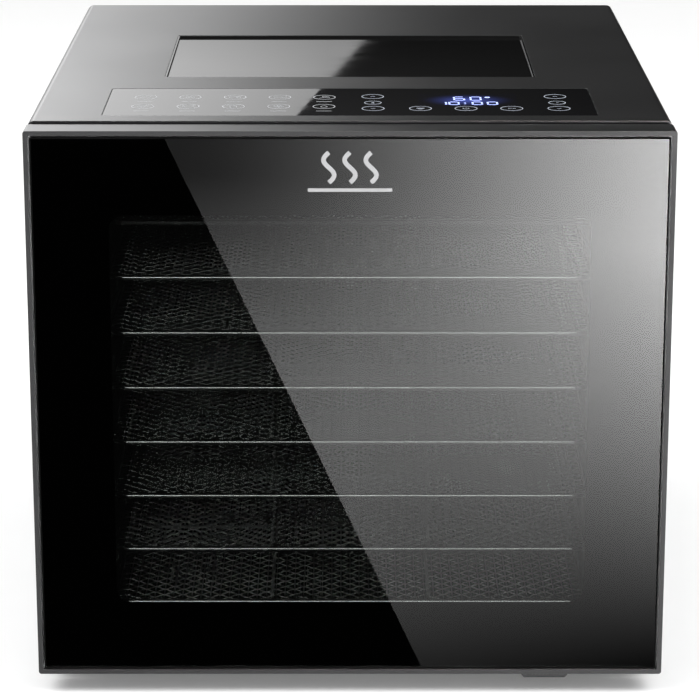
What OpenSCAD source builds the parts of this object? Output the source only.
// Cabinet food dehydrator with a glass door, eight wire trays and a rear fan.
// Origin: table level under the centre of the case. +Z up, door facing -Y.

/* [Case] */
// Width of the case and the door
case_w = 340; // [330:1:360]
// Depth from the door's face to the rear edge
case_d = 400; // [398:1:420]
// Height of the top surface above the table
case_h = 314.5; // [314:0.5:316]
// Thickness of the case sheet
sheet = 1; // [0.8:0.1:1.2]
// Outside radius of the sheet's folds
bend_r = 4; // [3:0.5:6]
// Height of the feet
foot_h = 12; // [11:0.5:14]

/* [Cavity] */
// Width of the drying cavity
cavity_w = 272; // [270:1:276]
// Level of the cavity floor
cavity_z0 = 22; // [20:1:24]
// Level of the cavity ceiling
cavity_z1 = 284; // [282:1:286]
// Thickness of the liner sheet
liner_t = 0.8; // [0.6:0.1:1]

/* [Door] */
// Thickness of the door
door_t = 18; // [17:0.5:19]
// Gap between the door and the case, which the seal fills
door_gap = 4; // [3.5:0.5:5]
// Width of the metal lip round the glass
lip_w = 2.6; // [2:0.1:4]
// Width of the window
window_w = 253; // [240:1:255]
// Height of the window
window_h = 216; // [200:1:218]
// Corner radius of the window
window_r = 8; // [4:1:12]

/* [Trays] */
// Number of trays
tray_count = 8; // [5:1:8]
// Level of the lowest tray
tray_z0 = 39; // [38:1:40]
// Distance from one tray to the next
tray_pitch = 31; // [30:0.5:31]
// Outside width of a tray
tray_w = 265; // [262:1:266]
// Diameter of the rod that frames a tray
rod_d = 3.2; // [2.8:0.1:3.4]

/* [Fan] */
// Diameter of the fan wheel
fan_d = 148; // [120:2:160]
// Number of fan blades
blade_count = 7; // [5:1:9]
// Pitch of the fan blades in degrees
blade_pitch = 35; // [25:1:45]

/* [Hidden] */
$fn = 64;
fit_gap = 0.1;
slide_gap = 0.2;
pin_gap = 0.05;
cut = 1;

// Levels and planes shared by several parts
case_z0 = foot_h - sheet;
inner_top = case_h - sheet;
front_y = -case_d / 2;
back_y = case_d / 2;
door_y1 = front_y + door_t;
face_y = door_y1 + door_gap;
door_z0 = case_z0 + 0.5;
door_z1 = case_h - 1;
door_zc = (door_z0 + door_z1) / 2;
door_h = door_z1 - door_z0;
window_drop = 2.5;
cavity_zc = (cavity_z0 + cavity_z1) / 2;
cavity_h = cavity_z1 - cavity_z0;
liner_y0 = face_y + 18;
liner_y1 = back_y - 35;
cover_y0 = back_y - 4;
cover_t = 1.2;

// Front frame of the case
frame_t = 2.5;
frame_lip = 5;
frame_w = case_w - 2 * sheet - 2 * fit_gap;
frame_z0 = foot_h + fit_gap;
frame_z1 = inner_top - fit_gap;

// Openings in the top of the case
panel_w = 264;
panel_y0 = front_y + 36;
panel_y1 = front_y + 113;
panel_r = 2;
panel_t = 3;
panel_drop = 0.1;
inset_w = 210;
inset_y0 = front_y + 147;
inset_y1 = front_y + 285;
inset_r = 0.6;
inset_depth = 1.4;
inset_wall = 1.2;

// Trays
tray_y0 = front_y + 38.4;
tray_y1 = 100;
tray_r = 10;
rod_r = rod_d / 2;
mesh_t = 0.4;
stay_r = 1.2;
ledge_t = 1.2;
ledge_w = 9;
rack_t = 1;
rack_y0 = front_y + 50;

// Fan, motor and heater share one axis
fan_z = cavity_zc;
fan_y0 = liner_y1 - 41;
fan_y1 = liner_y1 - 21;
hub_r = 20;
shaft_r = 3;
blade_t = 1.6;
baffle_y = liner_y1 - 57;
baffle_t = 1.2;
motor_r = 36;
motor_y0 = liner_y1 + 1.5;
heater_r = 92;
heater_tube_r = 3.3;
heater_leg_r = 2.5;
heater_y = liner_y1 - 31;
heater_leg_x = 15;

// Door and hinge
glass_t = 4;
print_t = 0.3;
glass_gap = 0.7;
pocket_y = front_y + 0.2 + glass_t + print_t;
rail_w = 28;
rebate_w = 18;
rebate_t = 2;
hinge_x = -case_w / 2 + 6;
hinge_y = front_y + 12;
knuckle_r = 4.5;
knuckle_h = 12;
hinge_pin_r = 2;
hinge_pin_over = 8;
hinge_plate_t = 1.5;
hinge_z = [door_z0 + 33.5, door_z1 - 45.5];
catch_x = case_w / 2 - 7.5;
catch_z = [door_zc - 82, door_zc + 82];
catch_r = 4;

// Rear power inlet, an ordinary three-pin appliance inlet
inlet_x = 120;
inlet_z = 52;
inlet_body = [27, 19.6];
inlet_flange = [31, 24];
socket_w = 24.4;
socket_h = 16.2;
socket_d = 15;

// Places of the feet, screws and standoffs
board_t = 1.6;
foot_x = case_w / 2 - 32;
foot_y = [front_y + 55, back_y - 30];
post_x = 122;
post_dz = 118;

tray_ids = [for (i = [1:tray_count]) i];

// ---- Shape helpers ----

// Centred rectangle with round corners
module rounded(size, r) {
    square([size[0] - 2 * r, size[1]], center = true);
    square([size[0], size[1] - 2 * r], center = true);
    for (x = [-1, 1], y = [-1, 1])
        translate([x * (size[0] / 2 - r), y * (size[1] / 2 - r)])
            circle(r = r);
}

// Rounded outline from level a to level b, centred on the other axis
module outline(w, a, b, r) {
    translate([0, (a + b) / 2])
        rounded([w, b - a], r);
}

// A flat shape drawn in X and Z, given depth along Y
module along_y(y0, y1) {
    translate([0, y1, 0])
        rotate([90, 0, 0])
            linear_extrude(y1 - y0)
                children();
}

// A flat shape drawn in X and Y, given height along Z
module along_z(z0, z1) {
    translate([0, 0, z0])
        linear_extrude(z1 - z0)
            children();
}

// Straight round rods along each axis
module rod_x(y, z, r, x0, x1) {
    translate([x0, y, z])
        rotate([0, 90, 0])
            cylinder(r = r, h = x1 - x0);
}
module rod_y(x, z, r, y0, y1) {
    translate([x, y1, z])
        rotate([90, 0, 0])
            cylinder(r = r, h = y1 - y0);
}
module rod_z(x, y, r, z0, z1) {
    translate([x, y, z0])
        cylinder(r = r, h = z1 - z0);
}

// Box between two corners
module box(low, high) {
    translate(low)
        cube(high - low);
}

// Slot with round ends, lying across
module slot(w, h) {
    rounded([w, h], h / 2 - 0.01);
}

// Outline of the door, drawn in by a margin
module door_outline(margin, r) {
    outline(case_w - 2 * margin, door_z0 + margin, door_z1 - margin, r);
}

// Window opening, widened by a margin
module window_outline(margin) {
    translate([0, door_zc - window_drop])
        rounded([window_w + 2 * margin, window_h + 2 * margin], window_r + margin);
}

// ---- Case ----

// Sheet folded over the top and sides, with a seat for the rear cover
module outer_wrap() {
    flange_w = 13;
    seat_w = 12;
    color("silver")
        difference() {
            union() {
                along_y(face_y, back_y)
                    difference() {
                        outline(case_w, case_z0, case_h, bend_r);
                        outline(case_w - 2 * sheet, foot_h, inner_top, bend_r - sheet);
                        translate([0, case_z0])
                            square([case_w - 2 * flange_w, 4 * sheet], center = true);
                    }
                along_y(cover_y0 - sheet, cover_y0)
                    difference() {
                        outline(case_w - sheet, foot_h, case_h - sheet / 2, bend_r - sheet);
                        outline(case_w - 2 * seat_w, foot_h + seat_w, inner_top - seat_w, 2);
                    }
            }
            along_z(case_h - 2 * sheet, case_h + cut)
                outline(panel_w, panel_y0, panel_y1, panel_r);
            along_z(case_h - 2 * sheet, case_h + cut)
                outline(inset_w, inset_y0, inset_y1, inset_r);
            cover_screw_places()
                rod_y(0, 0, 1.8, cover_y0 - 2, cover_y0 + cut);
        }
}

module foot_places() {
    for (x = [-foot_x, foot_x], y = foot_y)
        translate([x, y, 0])
            children();
}

module cover_screw_places() {
    edge = 6;
    for (x = [-1, 0, 1], z = [0, 1])
        translate([x * (case_w / 2 - sheet - edge), 0, z ? inner_top - edge : foot_h + edge])
            children();
    for (x = [-1, 1])
        translate([x * (case_w / 2 - sheet - edge), 0, (foot_h + inner_top) / 2])
            children();
}

// Floor of the case, with air slots and the foot screw holes
module bottom_plate() {
    slot_w = 44;
    slot_h = 4;
    plate_w = case_w - 2 * (bend_r + fit_gap);
    color("dimgray")
        difference() {
            along_z(foot_h, foot_h + sheet)
                difference() {
                    outline(plate_w, face_y + frame_lip + fit_gap, cover_y0 - 1.4 * sheet, 2);
                    for (x = [-70, 0, 70], i = [0:4])
                        translate([x, back_y - 90 + 10 * i])
                            slot(slot_w, slot_h);
                }
            foot_places()
                rod_z(0, 0, 2.1, foot_h - cut, foot_h + 2 * cut);
        }
}

// Rear cover, with two fields of vent slots and the inlet's cut-out
module rear_cover() {
    vent_rows = 13;
    color("darkgray")
        difference() {
            along_y(cover_y0, cover_y0 + cover_t)
                difference() {
                    outline(frame_w, frame_z0, frame_z1, bend_r - sheet);
                    for (x = [-78, -26, 26, 78], i = [0:vent_rows - 1])
                        translate([x, fan_z - 42 + 9 * i])
                            slot(42, 4);
                    translate([inlet_x, inlet_z])
                        square(inlet_body + [2, 2] * fit_gap, center = true);
                }
            cover_screw_places()
                rod_y(0, 0, 1.8, cover_y0 - cut, cover_y0 + 2 * cut);
        }
}

// Moulded frame round the mouth of the cavity
module front_frame() {
    jamb_t = 2.5;
    rim_w = 2.5;
    color("black")
        difference() {
            union() {
                along_y(face_y, face_y + frame_t)
                    outline(frame_w, frame_z0, frame_z1, bend_r - sheet);
                along_y(face_y, face_y + frame_lip)
                    difference() {
                        outline(frame_w, frame_z0, frame_z1, bend_r - sheet);
                        outline(frame_w - 2 * rim_w, frame_z0 + rim_w, frame_z1 - rim_w, 2);
                    }
                along_y(face_y, liner_y0)
                    outline(cavity_w + 2 * jamb_t, cavity_z0 - jamb_t, cavity_z1 + jamb_t, 3);
            }
            along_y(face_y - cut, liner_y0 + cut)
                outline(cavity_w, cavity_z0, cavity_z1, 1);
            for (z = hinge_z) {
                hinge_plate(z, fit_gap, cut);
                hinge_screw_holes(z);
            }
            for (z = catch_z)
                rod_y(catch_x, z, catch_r, face_y - cut, face_y + frame_lip + cut);
        }
}

// ---- Cavity liner ----

module liner_side(side) {
    color("gainsboro")
        translate([side * (cavity_w + liner_t) / 2, (liner_y0 + liner_y1) / 2, cavity_zc])
            cube([liner_t, liner_y1 - liner_y0, cavity_h + 2 * liner_t], center = true);
}

module liner_level(z) {
    color("gainsboro")
        translate([0, (liner_y0 + liner_y1) / 2, z])
            cube([cavity_w, liner_y1 - liner_y0, liner_t], center = true);
}

module liner_left() {
    liner_side(-1);
}
module liner_right() {
    liner_side(1);
}
module liner_floor() {
    liner_level(cavity_z0 - liner_t / 2);
}
module liner_ceiling() {
    liner_level(cavity_z1 + liner_t / 2);
}

module post_places() {
    for (x = [-post_x, post_x], z = [-post_dz, post_dz])
        translate([x, 0, fan_z + z])
            children();
}

// Back wall of the cavity, with welded posts that hold the baffle
module liner_back() {
    color("gainsboro")
        difference() {
            union() {
                along_y(liner_y1 - liner_t, liner_y1)
                    outline(cavity_w, cavity_z0, cavity_z1, 0.5);
                post_places()
                    rod_y(0, 0, 4, baffle_y + baffle_t, liner_y1);
            }
            rod_y(0, fan_z, 7, liner_y1 - 2, liner_y1 + cut);
            for (x = [-heater_leg_x, heater_leg_x])
                rod_y(x, heater_leg_z(), heater_leg_r + 1, liner_y1 - 2, liner_y1 + cut);
            rod_y(100, cavity_z1 - 22, 2.7, liner_y1 - 2, liner_y1 + cut);
            post_places()
                rod_y(0, 0, 2, baffle_y, baffle_y + 22);
        }
}

// Side rack: an upright sheet with one ledge under each tray
module rack(side) {
    outer = cavity_w / 2;
    color("silver")
        mirror([side < 0 ? 1 : 0, 0, 0]) {
            box([outer - rack_t, rack_y0, cavity_z0 + 4], [outer, tray_y1, cavity_z1 - 4]);
            for (i = tray_ids) {
                top = tray_level(i) - rod_r - slide_gap;
                box([outer - rack_t - ledge_w, rack_y0, top - ledge_t], [outer, tray_y1, top]);
            }
        }
}

module rack_left() {
    rack(-1);
}
module rack_right() {
    rack(1);
}

// Perforated sheet between the trays and the fan
module fan_baffle() {
    hole_r = 4.5;
    color("gainsboro")
        difference() {
            along_y(baffle_y, baffle_y + baffle_t)
                difference() {
                    outline(cavity_w, cavity_z0, cavity_z1, 0.5);
                    translate([0, fan_z])
                        for (ring = [0:4], i = [0:max(1, 6 * ring) - 1])
                            rotate(i * 60 / max(1, ring))
                                translate([14 * ring, 0])
                                    circle(r = hole_r);
                    for (x = [-1, 1], i = [0:8])
                        translate([x * 106, fan_z - 96 + 24 * i])
                            slot(34, 5);
                }
            post_places()
                rod_y(0, 0, 2.1, baffle_y - cut, baffle_y + 2 * cut);
        }
}

module baffle_screws() {
    color("silver")
        post_places()
            screw(3.8, 1.8, 1.9, 14, baffle_y);
}

// Pan-head screw driven towards +Y from a face at level y
module screw(head_r, head_h, shank_r, shank_l, y) {
    rod_y(0, 0, head_r, y - head_h, y);
    rod_y(0, 0, shank_r, y - head_h / 2, y + shank_l);
}

// ---- Heating ----

function heater_leg_z() = fan_z - sqrt(heater_r * heater_r - heater_leg_x * heater_leg_x);

// Sheathed ring element whose two ends run back through the liner
module heating_element() {
    color("dimgray") {
        translate([0, heater_y, fan_z])
            rotate([90, 0, 0])
                rotate_extrude()
                    translate([heater_r, 0])
                        circle(r = heater_tube_r);
        for (x = [-heater_leg_x, heater_leg_x])
            rod_y(x, heater_leg_z(), heater_leg_r, heater_y, liner_y1 + 18);
    }
}

module heater_brackets() {
    bracket_w = 12;
    color("silver")
        for (a = [30, 150, 270])
            translate([heater_r * cos(a), 0, fan_z + heater_r * sin(a)])
                rotate([0, 90 - a, 0])
                    box(
                        [-bracket_w / 2, heater_y + heater_tube_r, -0.75],
                        [bracket_w / 2, liner_y1 - liner_t, 0.75]
                    );
}

// Probe that reads the air temperature beside the fan
module temperature_probe() {
    color("silver")
        translate([100, 0, cavity_z1 - 22]) {
            rod_y(0, 0, 2.5, baffle_y + 14, liner_y1 + 12);
            rod_y(0, 0, 5.5, liner_y1 - liner_t - 2, liner_y1 - liner_t);
        }
}

// Bimetal disc that cuts the heater off
module thermal_cutout() {
    y = liner_y1 - liner_t;
    color("tan")
        translate([-112, 0, cavity_z1 - 48]) {
            rod_y(0, 0, 8, y - 8, y);
            along_y(y - 1.5, y)
                slot(26, 7);
        }
}

// ---- Fan ----

module fan_motor() {
    color("slategray")
        difference() {
            union() {
                rod_y(0, fan_z, motor_r, motor_y0, motor_y0 + 21);
                rod_y(0, fan_z, motor_r - 8, motor_y0 + 20, motor_y0 + 24);
            }
            rod_y(0, fan_z, shaft_r + pin_gap, motor_y0 - cut, motor_y0 + 20);
        }
}

// Spider plate between the liner and the motor
module motor_bracket() {
    color("silver")
        along_y(liner_y1, motor_y0)
            translate([0, fan_z])
                difference() {
                    union() {
                        circle(r = motor_r + 3);
                        for (a = [90, 210, 330])
                            rotate(a)
                                translate([28, 0])
                                    rounded([56, 14], 5);
                    }
                    circle(r = 12);
                }
}

module fan_wheel() {
    blade_l = fan_d / 2 - hub_r + 2;
    chord = 40;
    color("silver")
        difference() {
            union() {
                rod_y(0, fan_z, hub_r, fan_y0, fan_y1);
                intersection() {
                    rod_y(0, fan_z, fan_d / 2, fan_y0 + 1, fan_y1 - 1);
                    for (i = [0:blade_count - 1])
                        translate([0, (fan_y0 + fan_y1) / 2, fan_z])
                            rotate([0, i * 360 / blade_count, 0])
                                translate([hub_r - 1 + blade_l / 2, 0, 0])
                                    rotate([blade_pitch, 0, 0])
                                        cube([blade_l, blade_t, chord], center = true);
                }
            }
            rod_y(0, fan_z, shaft_r, fan_y0 - cut, fan_y1 + cut);
        }
}

module fan_shaft() {
    color("gray")
        rod_y(0, fan_z, shaft_r, fan_y0 - 8, motor_y0 + 19);
}

module fan_nut() {
    color("gray")
        difference() {
            translate([0, fan_y0, fan_z])
                rotate([90, 0, 0])
                    cylinder(r = 6, h = 5, $fn = 6);
            rod_y(0, fan_z, shaft_r, fan_y0 - 6, fan_y0 + cut);
        }
}

// ---- Electronics ----

// Mains board above the cavity, on standoffs
module power_board() {
    x0 = -150;
    y0 = 25;
    board_w = 100;
    board_d = 110;
    edge = 6;
    standoff_h = 5;
    // Blocks on the board: place across, place back, width, depth, height
    transformer = [8, 65, 30, 28, 15];
    heater_relay = [46, 67, 19, 16, 14];
    fan_relay = [46, 87, 19, 16, 14];
    terminals = [70, 13, 22, 8, 10];
    color("darkgreen")
        translate([x0, y0, cavity_z1 + liner_t]) {
            box([0, 0, standoff_h], [board_w, board_d, standoff_h + board_t]);
            for (x = [edge, board_w - edge], y = [edge, board_d - edge])
                rod_z(x, y, 3, 0, standoff_h);
            translate([0, 0, standoff_h + board_t]) {
                for (b = [transformer, heater_relay, fan_relay, terminals])
                    translate([b[0], b[1], 0])
                        cube([b[2], b[3], b[4]]);
                for (y = [20, 37])
                    rod_z(20, y, 6, 0, 14);
            }
        }
}

// Keys and processor board under the touch glass
module control_board() {
    half_w = 118;
    edge = 8;
    processor = [12, 12, 1.4];
    connector = [18, 8, 6];
    board_z = display_floor() - board_t;
    color("darkgreen") {
        box([-half_w, panel_y0 + edge, board_z], [half_w, panel_y1 - edge, board_z + board_t]);
        translate([-20, panel_y0 + 28, board_z - processor[2]])
            cube(processor);
        translate([20, panel_y0 + 50, board_z - connector[2]])
            cube(connector);
    }
}

// Lit segment display behind the glass
module display_module() {
    color("whitesmoke")
        box(
            [42, panel_y0 + 27, display_floor()],
            [84, panel_y0 + 55, panel_floor() - fit_gap]
        );
}

// Upper face of the control board, where the display stands
function display_floor() = panel_floor() - 6.8;

// Underside level of the touch glass
function panel_floor() = case_h - panel_drop - panel_t;

// Moulded seat that holds the touch glass in the top sheet
module panel_carrier() {
    seat_t = 3;
    grip = 8;
    window_in = 9;
    y_mid = (panel_y0 + panel_y1) / 2;
    color("black") {
        difference() {
            along_z(panel_floor() - seat_t, inner_top)
                outline(panel_w + 2 * grip, panel_y0 - grip, panel_y1 + grip, 3);
            along_z(panel_floor(), inner_top + cut)
                outline(panel_w, panel_y0, panel_y1, panel_r);
            along_z(panel_floor() - seat_t - cut, inner_top + cut)
                outline(
                    panel_w - 2 * window_in, panel_y0 + window_in, panel_y1 - window_in, 2
                );
        }
        for (x = [-115, 115], y = [panel_y0 + 9, panel_y1 - 9])
            rod_z(x, y, 3, display_floor(), panel_floor() - seat_t);
    }
}

module touch_glass() {
    color("black")
        along_z(panel_floor(), panel_floor() + panel_t)
            outline(
                panel_w - 2 * slide_gap, panel_y0 + slide_gap, panel_y1 - slide_gap, panel_r
            );
}

// Shallow gloss tray let into the top sheet
module top_inset() {
    flange = 7;
    floor_z = case_h - inset_depth;
    color("black")
        difference() {
            union() {
                along_z(floor_z - 2, inner_top)
                    outline(inset_w + 2 * flange, inset_y0 - flange, inset_y1 + flange, 2);
                along_z(floor_z, case_h - 0.2)
                    outline(
                        inset_w - 2 * fit_gap, inset_y0 + fit_gap, inset_y1 - fit_gap, inset_r
                    );
            }
            along_z(floor_z, case_h + cut)
                outline(
                    inset_w - 2 * inset_wall, inset_y0 + inset_wall, inset_y1 - inset_wall,
                    inset_r
                );
        }
}

// Appliance inlet: a moulded socket with bevelled top corners
module power_inlet() {
    flange_y = cover_y0 + cover_t;
    flange_t = 1.6;
    wall_t = 4;
    bevel = 4.5;
    w = socket_w / 2;
    h = socket_h / 2;
    color("black")
        translate([inlet_x, 0, inlet_z])
            difference() {
                union() {
                    along_y(flange_y - socket_d - wall_t, flange_y)
                        square(inlet_body, center = true);
                    along_y(flange_y, flange_y + flange_t)
                        rounded(inlet_flange, 2);
                }
                along_y(flange_y - socket_d, flange_y + flange_t + cut)
                    polygon([
                        [-w, -h], [w, -h], [w, h - bevel],
                        [w - bevel, h], [bevel - w, h], [-w, h - bevel]
                    ]);
            }
}

// Flat blades of the inlet: two in line and the earth above them
module inlet_pins() {
    y0 = cover_y0 + cover_t - socket_d;
    pin_l = 13;
    pin_w = 2;
    pin_h = 4;
    line_x = 7;
    line_z = -2;
    earth_z = 3.6;
    color("gold")
        translate([inlet_x, y0 + pin_l / 2, inlet_z])
            for (p = [[-line_x, line_z], [0, earth_z], [line_x, line_z]])
                translate([p[0], 0, p[1]])
                    cube([pin_w, pin_l, pin_h], center = true);
}

// ---- Feet and screws ----

module feet() {
    color("dimgray")
        foot_places()
            difference() {
                cylinder(r1 = 10, r2 = 12, h = foot_h);
                rod_z(0, 0, 4.5, -cut, 5);
                rod_z(0, 0, 2.1, -cut, foot_h + cut);
            }
}

module foot_screws() {
    color("silver")
        foot_places() {
            rod_z(0, 0, 4, 2.4, 5);
            rod_z(0, 0, 2, 4, foot_h + sheet + 3);
        }
}

// Screws of the rear cover and of the hinge brackets
module case_screws() {
    color("silver") {
        cover_screw_places()
            mirror([0, 1, 0])
                screw(3.2, 1.8, 1.7, 6, -cover_y0 - cover_t);
        for (z = hinge_z)
            hinge_screw_places(z)
                screw(2.8, 1.1, 1.5, 8, face_y + 1.1);
    }
}

// ---- Hinge and catch ----

// Plate of a hinge bracket, let into the front frame
module hinge_plate(z, gap, over) {
    box(
        [hinge_x - 4.5 - gap, face_y - over, z - 2 - gap],
        [hinge_x + 17 + gap, face_y + hinge_plate_t, z + knuckle_h + 2 + gap]
    );
}

module hinge_screw_places(z) {
    for (dz = [1.5, knuckle_h - 1.5])
        translate([hinge_x + 12.5, 0, z + dz])
            children();
}

module hinge_screw_holes(z) {
    hinge_screw_places(z)
        rod_y(0, 0, 1.5, face_y - cut, face_y + 12);
}

// Brackets that carry the two hinge pins in front of the case
module hinge_brackets() {
    web_t = 3;
    color("dimgray")
        for (z = hinge_z)
            difference() {
                union() {
                    rod_z(hinge_x, hinge_y, knuckle_r, z, z + knuckle_h);
                    box(
                        [hinge_x - web_t / 2, hinge_y, z],
                        [hinge_x + web_t / 2, face_y + hinge_plate_t, z + knuckle_h]
                    );
                    hinge_plate(z, 0, 0);
                }
                rod_z(hinge_x, hinge_y, hinge_pin_r, z - cut, z + knuckle_h + cut);
                hinge_screw_holes(z);
                hinge_screw_places(z)
                    rod_y(0, 0, 2.8, face_y - cut, face_y + 1.1);
            }
}

module hinge_pins() {
    color("silver")
        for (z = hinge_z)
            rod_z(
                hinge_x, hinge_y, hinge_pin_r,
                z - hinge_pin_over, z + knuckle_h + hinge_pin_over
            );
}

module catch_magnets() {
    color("gray")
        for (z = catch_z)
            rod_y(catch_x, z, catch_r, face_y, face_y + 4);
}

// ---- Door ----

// Metal frame of the door, with a lip round the glass
module door_frame() {
    notch_in = 11.1;
    notch_y = front_y + 6.5;
    color("dimgray")
        difference() {
            along_y(front_y, door_y1)
                door_outline(0, 1.5);
            along_y(front_y - cut, pocket_y)
                door_outline(lip_w, 0.6);
            along_y(front_y, door_y1 + cut)
                door_outline(rail_w, 4);
            along_y(door_y1 - rebate_t, door_y1 + cut)
                door_outline(rebate_w, 4);
            for (z = hinge_z) {
                box(
                    [-case_w, notch_y, z - 0.5],
                    [-case_w / 2 + notch_in, door_y1 + cut, z + knuckle_h + 0.5]
                );
                rod_z(
                    hinge_x, hinge_y, hinge_pin_r + pin_gap,
                    z - hinge_pin_over - 0.4, z + knuckle_h + hinge_pin_over + 0.4
                );
            }
            for (z = catch_z)
                rod_y(catch_x, z, catch_r, door_y1 - 1.2, door_y1 + cut);
            door_screw_places()
                rod_y(0, 0, 1.4, door_y1 - 9, door_y1);
        }
}

module door_glass() {
    color("lightsteelblue")
        along_y(pocket_y - print_t - glass_t, pocket_y - print_t)
            door_outline(lip_w + glass_gap, 1);
}

// Opaque print on the back of the glass, which leaves the window clear
module glass_print() {
    color("black")
        along_y(pocket_y - print_t, pocket_y)
            difference() {
                door_outline(lip_w + glass_gap, 1);
                window_outline(0);
            }
}

// Moulded panel round the window, let into the back of the frame
module door_inner_panel() {
    rim_t = 2;
    reveal = 7;
    color("black")
        difference() {
            union() {
                along_y(door_y1 - rebate_t, door_y1)
                    door_outline(rebate_w + fit_gap, 4);
                along_y(pocket_y, door_y1)
                    window_outline(reveal + rim_t);
            }
            along_y(pocket_y - cut, door_y1 + cut)
                window_outline(reveal);
            door_screw_places()
                rod_y(0, 0, 1.5, door_y1 - 3, door_y1 + cut);
        }
}

module door_screw_places() {
    x1 = case_w / 2 - 23;
    z1 = door_h / 2 - 23;
    for (x = [-1, 0, 1], z = [-1, 1])
        translate([x * x1, 0, door_zc + z * z1])
            children();
    for (x = [-1, 1])
        translate([x * x1, 0, door_zc])
            children();
}

module door_screws() {
    color("silver")
        door_screw_places()
            mirror([0, 1, 0])
                screw(2.6, 1.2, 1.4, 8, -door_y1);
}

// Soft seal between the door and the front frame, clear of the hinge at the sides
module door_seal() {
    side_in = 12.5;
    level_in = 3;
    seal_w = 4;
    color("dimgray")
        along_y(door_y1, face_y - slide_gap)
            difference() {
                outline(
                    case_w - 2 * side_in, door_z0 + level_in, door_z1 - level_in, 6
                );
                outline(
                    case_w - 2 * (side_in + seal_w),
                    door_z0 + level_in + seal_w, door_z1 - level_in - seal_w, 4
                );
            }
}

// Finger tab under the free end of the door
module door_grip() {
    color("dimgray")
        along_y(front_y + 1, front_y + 15)
            polygon([
                [case_w / 2 - 77, door_z0], [case_w / 2 - 50.5, door_z0],
                [case_w / 2 - 52.5, door_z0 - 2.5], [case_w / 2 - 75, door_z0 - 2.5]
            ]);
}

module strike_plates() {
    color("silver")
        for (z = catch_z)
            rod_y(catch_x, z, catch_r, door_y1 - 1.2, door_y1);
}

// ---- Trays ----

function tray_level(i) = tray_z0 + (i - 1) * tray_pitch;

// Round rod bent into a rectangle, with three stays under the mesh
module tray_frame(i) {
    x = tray_w / 2 - rod_r;
    y0 = tray_y0 + rod_r;
    y1 = tray_y1 - rod_r;
    r = tray_r - rod_r;
    stay_z = -mesh_t / 2 - stay_r;
    cross_x = cavity_w / 2 - rack_t - ledge_w - 2;
    color("silver")
        translate([0, 0, tray_level(i)]) {
            for (y = [y0, y1])
                rod_x(y, 0, rod_r, -x + r, x - r);
            for (s = [-x, x])
                rod_y(s, 0, rod_r, y0 + r, y1 - r);
            for (c = [[x, y1, 0], [-x, y1, 90], [-x, y0, 180], [x, y0, 270]])
                translate([c[0] - sign(c[0]) * r, c[1] - sign(c[1] - y0 - 1) * r, 0])
                    rotate([0, 0, c[2]])
                        rotate_extrude(angle = 90)
                            translate([r, 0])
                                circle(r = rod_r);
            for (s = [-x / 3, x / 3])
                rod_y(s, stay_z, stay_r, y0, y1);
            rod_x((y0 + y1) / 2, stay_z, stay_r, -cross_x, cross_x);
        }
}

// Woven mesh laid inside the rod frame, as a thin plate
module tray_mesh(i) {
    color("lightgray")
        along_z(tray_level(i) - mesh_t / 2, tray_level(i) + mesh_t / 2)
            outline(
                tray_w - 2 * rod_d, tray_y0 + rod_d, tray_y1 - rod_d, tray_r - rod_d
            );
}

outer_wrap();
bottom_plate();
rear_cover();
front_frame();
liner_left();
liner_right();
liner_floor();
liner_ceiling();
liner_back();
rack_left();
rack_right();
fan_baffle();
baffle_screws();
heating_element();
heater_brackets();
temperature_probe();
thermal_cutout();
fan_motor();
motor_bracket();
fan_wheel();
fan_shaft();
fan_nut();
power_board();
control_board();
display_module();
panel_carrier();
touch_glass();
top_inset();
power_inlet();
inlet_pins();
feet();
foot_screws();
case_screws();
hinge_brackets();
hinge_pins();
catch_magnets();
door_frame();
door_glass();
glass_print();
door_inner_panel();
door_seal();
door_grip();
strike_plates();
door_screws();
for (i = tray_ids) {
    tray_frame(i);
    tray_mesh(i);
}
